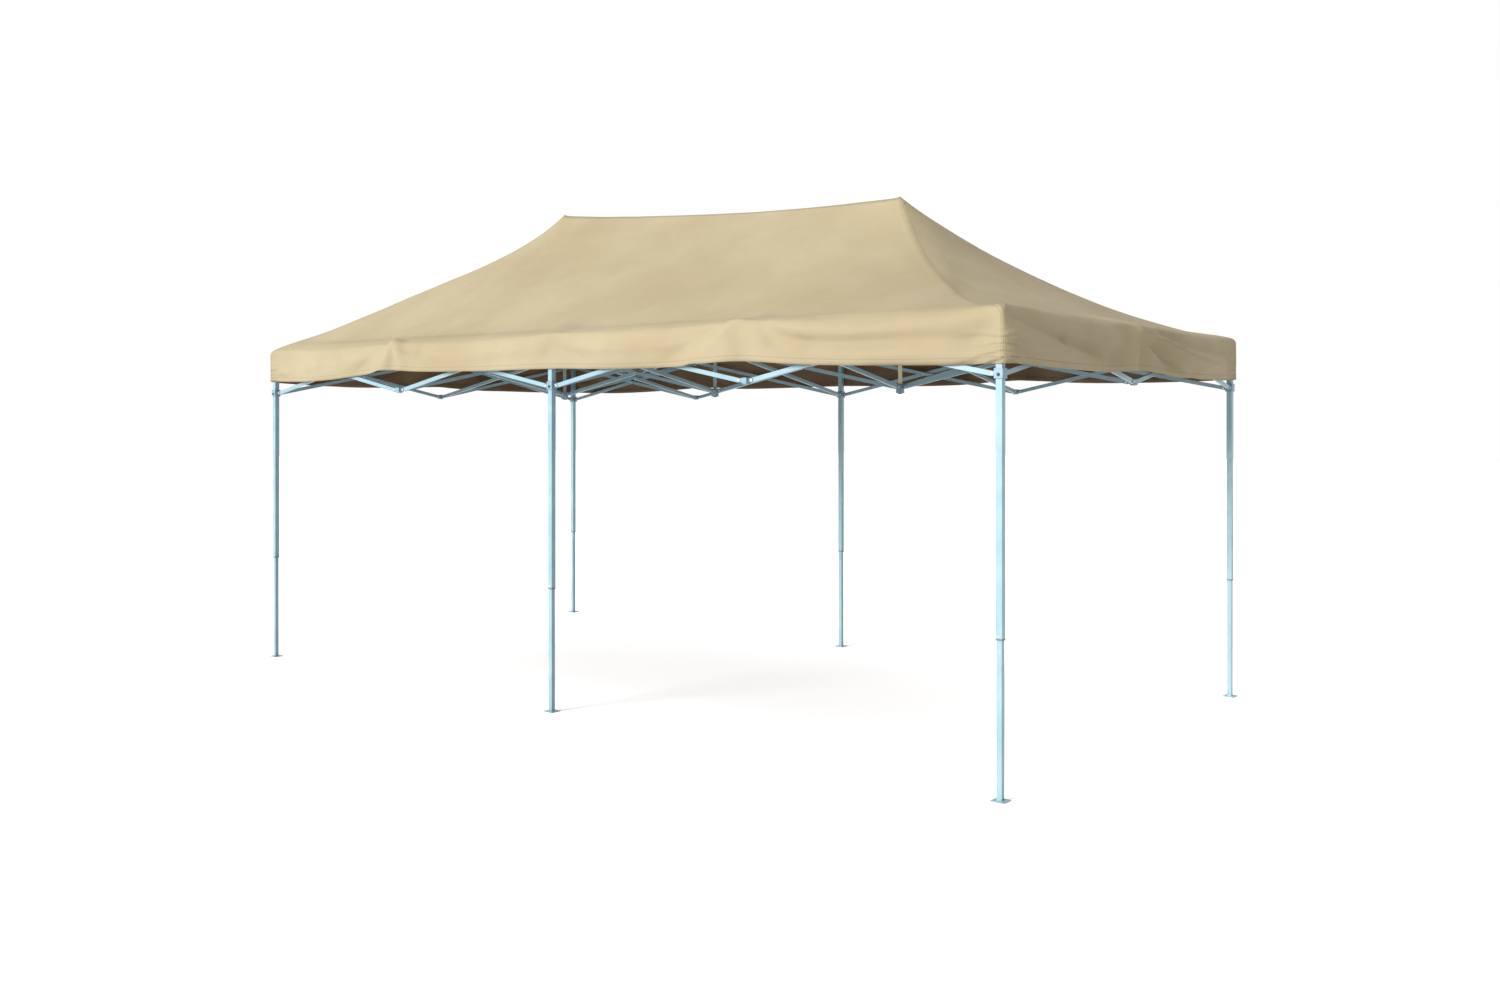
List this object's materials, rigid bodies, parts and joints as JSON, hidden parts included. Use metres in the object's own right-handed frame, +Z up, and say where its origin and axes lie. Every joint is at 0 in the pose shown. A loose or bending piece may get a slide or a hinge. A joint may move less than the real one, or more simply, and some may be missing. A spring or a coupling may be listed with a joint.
{
  "type": "pop up canopy",
  "caption": "Pop-up canopy with a hipped cloth roof and valance over a folding scissor-truss frame on telescopic legs.",
  "frame": {"origin": "on the ground, under the middle of the roof", "axes": "+X along the long side towards the right, +Y from the front long side to the back, +Z up"},
  "size_m": [6.07, 3.07, 3.305],
  "materials": {
    "frame_tube": "satin powder coat",
    "hub": "satin powder coat",
    "peak_post": "satin powder coat",
    "canopy_cloth": "plain-weave coated polyester"
  },
  "bodies": {
    "bar_front_1_rising": {"bar_front_1_rising": "frame_tube"},
    "bar_front_1_falling": {"bar_front_1_falling": "frame_tube"},
    "bar_front_2_rising": {"bar_front_2_rising": "frame_tube"},
    "bar_front_2_falling": {"bar_front_2_falling": "frame_tube"},
    "bar_front_3_rising": {"bar_front_3_rising": "frame_tube"},
    "bar_front_3_falling": {"bar_front_3_falling": "frame_tube"},
    "bar_front_4_rising": {"bar_front_4_rising": "frame_tube"},
    "bar_front_4_falling": {"bar_front_4_falling": "frame_tube"},
    "bar_centre_1_rising": {"bar_centre_1_rising": "frame_tube"},
    "bar_centre_1_falling": {"bar_centre_1_falling": "frame_tube"},
    "bar_centre_2_rising": {"bar_centre_2_rising": "frame_tube"},
    "bar_centre_2_falling": {"bar_centre_2_falling": "frame_tube"},
    "bar_centre_3_rising": {"bar_centre_3_rising": "frame_tube"},
    "bar_centre_3_falling": {"bar_centre_3_falling": "frame_tube"},
    "bar_centre_4_rising": {"bar_centre_4_rising": "frame_tube"},
    "bar_centre_4_falling": {"bar_centre_4_falling": "frame_tube"},
    "bar_back_1_rising": {"bar_back_1_rising": "frame_tube"},
    "bar_back_1_falling": {"bar_back_1_falling": "frame_tube"},
    "bar_back_2_rising": {"bar_back_2_rising": "frame_tube"},
    "bar_back_2_falling": {"bar_back_2_falling": "frame_tube"},
    "bar_back_3_rising": {"bar_back_3_rising": "frame_tube"},
    "bar_back_3_falling": {"bar_back_3_falling": "frame_tube"},
    "bar_back_4_rising": {"bar_back_4_rising": "frame_tube"},
    "bar_back_4_falling": {"bar_back_4_falling": "frame_tube"},
    "bar_left_1_rising": {"bar_left_1_rising": "frame_tube"},
    "bar_left_1_falling": {"bar_left_1_falling": "frame_tube"},
    "bar_left_2_rising": {"bar_left_2_rising": "frame_tube"},
    "bar_left_2_falling": {"bar_left_2_falling": "frame_tube"},
    "bar_middle_1_rising": {"bar_middle_1_rising": "frame_tube"},
    "bar_middle_1_falling": {"bar_middle_1_falling": "frame_tube"},
    "bar_middle_2_rising": {"bar_middle_2_rising": "frame_tube"},
    "bar_middle_2_falling": {"bar_middle_2_falling": "frame_tube"},
    "bar_right_1_rising": {"bar_right_1_rising": "frame_tube"},
    "bar_right_1_falling": {"bar_right_1_falling": "frame_tube"},
    "bar_right_2_rising": {"bar_right_2_rising": "frame_tube"},
    "bar_right_2_falling": {"bar_right_2_falling": "frame_tube"},
    "leg_tube_front_left": {"leg_tube_front_left": "frame_tube"},
    "foot_tube_front_left": {"foot_tube_front_left": "frame_tube"},
    "slider_front_left": {"slider_front_left": "hub"},
    "leg_tube_front_middle": {"leg_tube_front_middle": "frame_tube", "canopy_cloth": "canopy_cloth"},
    "foot_tube_front_middle": {"foot_tube_front_middle": "frame_tube"},
    "slider_front_middle": {"slider_front_middle": "hub"},
    "leg_tube_front_right": {"leg_tube_front_right": "frame_tube"},
    "foot_tube_front_right": {"foot_tube_front_right": "frame_tube"},
    "slider_front_right": {"slider_front_right": "hub"},
    "leg_tube_back_left": {"leg_tube_back_left": "frame_tube"},
    "foot_tube_back_left": {"foot_tube_back_left": "frame_tube"},
    "slider_back_left": {"slider_back_left": "hub"},
    "leg_tube_back_middle": {"leg_tube_back_middle": "frame_tube"},
    "foot_tube_back_middle": {"foot_tube_back_middle": "frame_tube"},
    "slider_back_middle": {"slider_back_middle": "hub"},
    "leg_tube_back_right": {"leg_tube_back_right": "frame_tube"},
    "foot_tube_back_right": {"foot_tube_back_right": "frame_tube"},
    "slider_back_right": {"slider_back_right": "hub"},
    "post_left": {"post_left": "peak_post"},
    "post_middle": {"post_middle": "frame_tube"},
    "post_right": {"post_right": "peak_post"},
    "end_hub_left": {"end_hub_left": "hub"},
    "end_hub_right": {"end_hub_right": "hub"}
  },
  "joints": [
    {"name": "fold", "type": "hinge", "parent": "leg_tube_front_middle", "child": "bar_middle_1_falling", "pos_m": [0.007, -1.462, 2.235], "axis": [-1, 0, 0], "range_deg": [0, 75], "deforming": ["canopy_cloth"]},
    {"name": "middle_1_cross", "type": "hinge", "parent": "bar_middle_1_falling", "child": "bar_middle_1_rising", "pos_m": [0, -0.75, 2.0925], "axis": [1, 0, 0], "range_deg": [0, 150]},
    {"name": "middle_1_rising_low_pin", "type": "hinge", "parent": "bar_middle_1_rising", "child": "slider_front_middle", "pos_m": [-0.007, -1.462, 1.95], "axis": [1, 0, 0], "range_deg": [-75, 0]},
    {"name": "middle_1_falling_low_pin", "type": "hinge", "parent": "bar_middle_1_falling", "child": "post_middle", "pos_m": [0.007, -0.038, 1.95], "axis": [1, 0, 0], "range_deg": [0, 75]},
    {"name": "middle_2_rising_low_pin", "type": "hinge", "parent": "post_middle", "child": "bar_middle_2_rising", "pos_m": [-0.007, 0.038, 1.95], "axis": [1, 0, 0], "range_deg": [0, 75]},
    {"name": "middle_2_cross", "type": "hinge", "parent": "bar_middle_2_rising", "child": "bar_middle_2_falling", "pos_m": [0, 0.75, 2.0925], "axis": [1, 0, 0], "range_deg": [-150, 0]},
    {"name": "middle_2_rising_high_pin", "type": "hinge", "parent": "bar_middle_2_rising", "child": "leg_tube_back_middle", "pos_m": [-0.007, 1.462, 2.235], "axis": [1, 0, 0], "range_deg": [-75, 0]},
    {"name": "middle_2_falling_low_pin", "type": "hinge", "parent": "bar_middle_2_falling", "child": "slider_back_middle", "pos_m": [0.007, 1.462, 1.95], "axis": [1, 0, 0], "range_deg": [0, 75]},
    {"name": "centre_3_rising_low_pin", "type": "hinge", "parent": "post_middle", "child": "bar_centre_3_rising", "pos_m": [0.038, 0.007, 1.95], "axis": [0, 1, 0], "range_deg": [-75, 0]},
    {"name": "centre_3_cross", "type": "hinge", "parent": "bar_centre_3_rising", "child": "bar_centre_3_falling", "pos_m": [0.75, 0, 2.0925], "axis": [0, 1, 0], "range_deg": [0, 150]},
    {"name": "centre_3_falling_low_pin", "type": "hinge", "parent": "bar_centre_3_falling", "child": "post_right", "pos_m": [1.462, -0.007, 1.95], "axis": [0, 1, 0], "range_deg": [-75, 0]},
    {"name": "centre_4_rising_low_pin", "type": "hinge", "parent": "post_right", "child": "bar_centre_4_rising", "pos_m": [1.538, 0.007, 1.95], "axis": [0, 1, 0], "range_deg": [-75, 0]},
    {"name": "centre_4_cross", "type": "hinge", "parent": "bar_centre_4_rising", "child": "bar_centre_4_falling", "pos_m": [2.25, 0, 2.0925], "axis": [0, 1, 0], "range_deg": [0, 150]},
    {"name": "centre_4_rising_high_pin", "type": "hinge", "parent": "bar_centre_4_rising", "child": "end_hub_right", "pos_m": [2.962, 0.007, 2.235], "axis": [0, 1, 0], "range_deg": [0, 75]},
    {"name": "centre_2_falling_low_pin", "type": "hinge", "parent": "post_middle", "child": "bar_centre_2_falling", "pos_m": [-0.038, -0.007, 1.95], "axis": [0, 1, 0], "range_deg": [0, 75]},
    {"name": "centre_2_cross", "type": "hinge", "parent": "bar_centre_2_falling", "child": "bar_centre_2_rising", "pos_m": [-0.75, 0, 2.0925], "axis": [0, 1, 0], "range_deg": [-150, 0]},
    {"name": "centre_2_rising_low_pin", "type": "hinge", "parent": "bar_centre_2_rising", "child": "post_left", "pos_m": [-1.462, 0.007, 1.95], "axis": [0, 1, 0], "range_deg": [0, 75]},
    {"name": "centre_1_falling_low_pin", "type": "hinge", "parent": "post_left", "child": "bar_centre_1_falling", "pos_m": [-1.538, -0.007, 1.95], "axis": [0, 1, 0], "range_deg": [0, 75]},
    {"name": "centre_1_cross", "type": "hinge", "parent": "bar_centre_1_falling", "child": "bar_centre_1_rising", "pos_m": [-2.25, 0, 2.0925], "axis": [0, 1, 0], "range_deg": [-150, 0]},
    {"name": "centre_1_falling_high_pin", "type": "hinge", "parent": "bar_centre_1_falling", "child": "end_hub_left", "pos_m": [-2.962, -0.007, 2.235], "axis": [0, 1, 0], "range_deg": [-75, 0]},
    {"name": "left_1_rising_high_pin", "type": "hinge", "parent": "end_hub_left", "child": "bar_left_1_rising", "pos_m": [-3.007, -0.038, 2.235], "axis": [1, 0, 0], "range_deg": [0, 75]},
    {"name": "left_1_cross", "type": "hinge", "parent": "bar_left_1_rising", "child": "bar_left_1_falling", "pos_m": [-3, -0.75, 2.0925], "axis": [1, 0, 0], "range_deg": [-150, 0]},
    {"name": "left_1_falling_high_pin", "type": "hinge", "parent": "bar_left_1_falling", "child": "leg_tube_front_left", "pos_m": [-2.993, -1.462, 2.235], "axis": [1, 0, 0], "range_deg": [0, 75]},
    {"name": "left_1_rising_low_pin", "type": "hinge", "parent": "bar_left_1_rising", "child": "slider_front_left", "pos_m": [-3.007, -1.462, 1.95], "axis": [1, 0, 0], "range_deg": [-75, 0]},
    {"name": "left_2_falling_high_pin", "type": "hinge", "parent": "end_hub_left", "child": "bar_left_2_falling", "pos_m": [-2.993, 0.038, 2.235], "axis": [1, 0, 0], "range_deg": [-75, 0]},
    {"name": "left_2_cross", "type": "hinge", "parent": "bar_left_2_falling", "child": "bar_left_2_rising", "pos_m": [-3, 0.75, 2.0925], "axis": [1, 0, 0], "range_deg": [0, 150]},
    {"name": "left_2_rising_high_pin", "type": "hinge", "parent": "bar_left_2_rising", "child": "leg_tube_back_left", "pos_m": [-3.007, 1.462, 2.235], "axis": [1, 0, 0], "range_deg": [-75, 0]},
    {"name": "left_2_falling_low_pin", "type": "hinge", "parent": "bar_left_2_falling", "child": "slider_back_left", "pos_m": [-2.993, 1.462, 1.95], "axis": [1, 0, 0], "range_deg": [0, 75]},
    {"name": "right_1_rising_high_pin", "type": "hinge", "parent": "end_hub_right", "child": "bar_right_1_rising", "pos_m": [2.993, -0.038, 2.235], "axis": [1, 0, 0], "range_deg": [0, 75]},
    {"name": "right_1_cross", "type": "hinge", "parent": "bar_right_1_rising", "child": "bar_right_1_falling", "pos_m": [3, -0.75, 2.0925], "axis": [1, 0, 0], "range_deg": [-150, 0]},
    {"name": "right_1_falling_high_pin", "type": "hinge", "parent": "bar_right_1_falling", "child": "leg_tube_front_right", "pos_m": [3.007, -1.462, 2.235], "axis": [1, 0, 0], "range_deg": [0, 75]},
    {"name": "right_1_rising_low_pin", "type": "hinge", "parent": "bar_right_1_rising", "child": "slider_front_right", "pos_m": [2.993, -1.462, 1.95], "axis": [1, 0, 0], "range_deg": [-75, 0]},
    {"name": "right_2_falling_high_pin", "type": "hinge", "parent": "end_hub_right", "child": "bar_right_2_falling", "pos_m": [3.007, 0.038, 2.235], "axis": [1, 0, 0], "range_deg": [-75, 0]},
    {"name": "right_2_cross", "type": "hinge", "parent": "bar_right_2_falling", "child": "bar_right_2_rising", "pos_m": [3, 0.75, 2.0925], "axis": [1, 0, 0], "range_deg": [0, 150]},
    {"name": "right_2_rising_high_pin", "type": "hinge", "parent": "bar_right_2_rising", "child": "leg_tube_back_right", "pos_m": [2.993, 1.462, 2.235], "axis": [1, 0, 0], "range_deg": [-75, 0]},
    {"name": "right_2_falling_low_pin", "type": "hinge", "parent": "bar_right_2_falling", "child": "slider_back_right", "pos_m": [3.007, 1.462, 1.95], "axis": [1, 0, 0], "range_deg": [0, 75]},
    {"name": "front_3_falling_high_pin", "type": "hinge", "parent": "leg_tube_front_middle", "child": "bar_front_3_falling", "pos_m": [0.038, -1.507, 2.235], "axis": [0, 1, 0], "range_deg": [0, 75]},
    {"name": "front_3_cross", "type": "hinge", "parent": "bar_front_3_falling", "child": "bar_front_3_rising", "pos_m": [0.75, -1.5, 2.0925], "axis": [0, 1, 0], "range_deg": [-150, 0]},
    {"name": "front_2_rising_high_pin", "type": "hinge", "parent": "leg_tube_front_middle", "child": "bar_front_2_rising", "pos_m": [-0.038, -1.493, 2.235], "axis": [0, 1, 0], "range_deg": [-75, 0]},
    {"name": "front_2_cross", "type": "hinge", "parent": "bar_front_2_rising", "child": "bar_front_2_falling", "pos_m": [-0.75, -1.5, 2.0925], "axis": [0, 1, 0], "range_deg": [0, 150]},
    {"name": "front_4_rising_high_pin", "type": "hinge", "parent": "leg_tube_front_right", "child": "bar_front_4_rising", "pos_m": [2.962, -1.493, 2.235], "axis": [0, 1, 0], "range_deg": [-75, 0]},
    {"name": "front_4_cross", "type": "hinge", "parent": "bar_front_4_rising", "child": "bar_front_4_falling", "pos_m": [2.25, -1.5, 2.0925], "axis": [0, 1, 0], "range_deg": [0, 150]},
    {"name": "front_1_falling_high_pin", "type": "hinge", "parent": "leg_tube_front_left", "child": "bar_front_1_falling", "pos_m": [-2.962, -1.507, 2.235], "axis": [0, 1, 0], "range_deg": [0, 75]},
    {"name": "front_1_cross", "type": "hinge", "parent": "bar_front_1_falling", "child": "bar_front_1_rising", "pos_m": [-2.25, -1.5, 2.0925], "axis": [0, 1, 0], "range_deg": [-150, 0]},
    {"name": "back_3_falling_high_pin", "type": "hinge", "parent": "leg_tube_back_middle", "child": "bar_back_3_falling", "pos_m": [0.038, 1.493, 2.235], "axis": [0, 1, 0], "range_deg": [0, 75]},
    {"name": "back_3_cross", "type": "hinge", "parent": "bar_back_3_falling", "child": "bar_back_3_rising", "pos_m": [0.75, 1.5, 2.0925], "axis": [0, 1, 0], "range_deg": [-150, 0]},
    {"name": "back_2_rising_high_pin", "type": "hinge", "parent": "leg_tube_back_middle", "child": "bar_back_2_rising", "pos_m": [-0.038, 1.507, 2.235], "axis": [0, 1, 0], "range_deg": [-75, 0]},
    {"name": "back_2_cross", "type": "hinge", "parent": "bar_back_2_rising", "child": "bar_back_2_falling", "pos_m": [-0.75, 1.5, 2.0925], "axis": [0, 1, 0], "range_deg": [0, 150]},
    {"name": "back_4_rising_high_pin", "type": "hinge", "parent": "leg_tube_back_right", "child": "bar_back_4_rising", "pos_m": [2.962, 1.507, 2.235], "axis": [0, 1, 0], "range_deg": [-75, 0]},
    {"name": "back_4_cross", "type": "hinge", "parent": "bar_back_4_rising", "child": "bar_back_4_falling", "pos_m": [2.25, 1.5, 2.0925], "axis": [0, 1, 0], "range_deg": [0, 150]},
    {"name": "back_1_falling_high_pin", "type": "hinge", "parent": "leg_tube_back_left", "child": "bar_back_1_falling", "pos_m": [-2.962, 1.493, 2.235], "axis": [0, 1, 0], "range_deg": [0, 75]},
    {"name": "back_1_cross", "type": "hinge", "parent": "bar_back_1_falling", "child": "bar_back_1_rising", "pos_m": [-2.25, 1.5, 2.0925], "axis": [0, 1, 0], "range_deg": [-150, 0]},
    {"name": "leg_front_left_slide", "type": "slide", "parent": "leg_tube_front_left", "child": "foot_tube_front_left", "axis": [0, 0, 1], "range_m": [0, 0.65]},
    {"name": "leg_front_middle_slide", "type": "slide", "parent": "leg_tube_front_middle", "child": "foot_tube_front_middle", "axis": [0, 0, 1], "range_m": [0, 0.65]},
    {"name": "leg_front_right_slide", "type": "slide", "parent": "leg_tube_front_right", "child": "foot_tube_front_right", "axis": [0, 0, 1], "range_m": [0, 0.65]},
    {"name": "leg_back_left_slide", "type": "slide", "parent": "leg_tube_back_left", "child": "foot_tube_back_left", "axis": [0, 0, 1], "range_m": [0, 0.65]},
    {"name": "leg_back_middle_slide", "type": "slide", "parent": "leg_tube_back_middle", "child": "foot_tube_back_middle", "axis": [0, 0, 1], "range_m": [0, 0.65]},
    {"name": "leg_back_right_slide", "type": "slide", "parent": "leg_tube_back_right", "child": "foot_tube_back_right", "axis": [0, 0, 1], "range_m": [0, 0.65]}
  ],
  "couplings": [
    {"joint": "middle_1_cross", "follows": "fold", "ratio": 2},
    {"joint": "middle_1_rising_low_pin", "follows": "fold", "ratio": -1},
    {"joint": "middle_1_falling_low_pin", "follows": "fold", "ratio": 1},
    {"joint": "middle_2_rising_low_pin", "follows": "fold", "ratio": 1},
    {"joint": "middle_2_cross", "follows": "fold", "ratio": -2},
    {"joint": "middle_2_rising_high_pin", "follows": "fold", "ratio": -1},
    {"joint": "middle_2_falling_low_pin", "follows": "fold", "ratio": 1},
    {"joint": "centre_3_rising_low_pin", "follows": "fold", "ratio": -1},
    {"joint": "centre_3_cross", "follows": "fold", "ratio": 2},
    {"joint": "centre_3_falling_low_pin", "follows": "fold", "ratio": -1},
    {"joint": "centre_4_rising_low_pin", "follows": "fold", "ratio": -1},
    {"joint": "centre_4_cross", "follows": "fold", "ratio": 2},
    {"joint": "centre_4_rising_high_pin", "follows": "fold", "ratio": 1},
    {"joint": "centre_2_falling_low_pin", "follows": "fold", "ratio": 1},
    {"joint": "centre_2_cross", "follows": "fold", "ratio": -2},
    {"joint": "centre_2_rising_low_pin", "follows": "fold", "ratio": 1},
    {"joint": "centre_1_falling_low_pin", "follows": "fold", "ratio": 1},
    {"joint": "centre_1_cross", "follows": "fold", "ratio": -2},
    {"joint": "centre_1_falling_high_pin", "follows": "fold", "ratio": -1},
    {"joint": "left_1_rising_high_pin", "follows": "fold", "ratio": 1},
    {"joint": "left_1_cross", "follows": "fold", "ratio": -2},
    {"joint": "left_1_falling_high_pin", "follows": "fold", "ratio": 1},
    {"joint": "left_1_rising_low_pin", "follows": "fold", "ratio": -1},
    {"joint": "left_2_falling_high_pin", "follows": "fold", "ratio": -1},
    {"joint": "left_2_cross", "follows": "fold", "ratio": 2},
    {"joint": "left_2_rising_high_pin", "follows": "fold", "ratio": -1},
    {"joint": "left_2_falling_low_pin", "follows": "fold", "ratio": 1},
    {"joint": "right_1_rising_high_pin", "follows": "fold", "ratio": 1},
    {"joint": "right_1_cross", "follows": "fold", "ratio": -2},
    {"joint": "right_1_falling_high_pin", "follows": "fold", "ratio": 1},
    {"joint": "right_1_rising_low_pin", "follows": "fold", "ratio": -1},
    {"joint": "right_2_falling_high_pin", "follows": "fold", "ratio": -1},
    {"joint": "right_2_cross", "follows": "fold", "ratio": 2},
    {"joint": "right_2_rising_high_pin", "follows": "fold", "ratio": -1},
    {"joint": "right_2_falling_low_pin", "follows": "fold", "ratio": 1},
    {"joint": "front_3_falling_high_pin", "follows": "fold", "ratio": 1},
    {"joint": "front_3_cross", "follows": "fold", "ratio": -2},
    {"joint": "front_2_rising_high_pin", "follows": "fold", "ratio": -1},
    {"joint": "front_2_cross", "follows": "fold", "ratio": 2},
    {"joint": "front_4_rising_high_pin", "follows": "fold", "ratio": -1},
    {"joint": "front_4_cross", "follows": "fold", "ratio": 2},
    {"joint": "front_1_falling_high_pin", "follows": "fold", "ratio": 1},
    {"joint": "front_1_cross", "follows": "fold", "ratio": -2},
    {"joint": "back_3_falling_high_pin", "follows": "fold", "ratio": 1},
    {"joint": "back_3_cross", "follows": "fold", "ratio": -2},
    {"joint": "back_2_rising_high_pin", "follows": "fold", "ratio": -1},
    {"joint": "back_2_cross", "follows": "fold", "ratio": 2},
    {"joint": "back_4_rising_high_pin", "follows": "fold", "ratio": -1},
    {"joint": "back_4_cross", "follows": "fold", "ratio": 2},
    {"joint": "back_1_falling_high_pin", "follows": "fold", "ratio": 1},
    {"joint": "back_1_cross", "follows": "fold", "ratio": -2}
  ]
}
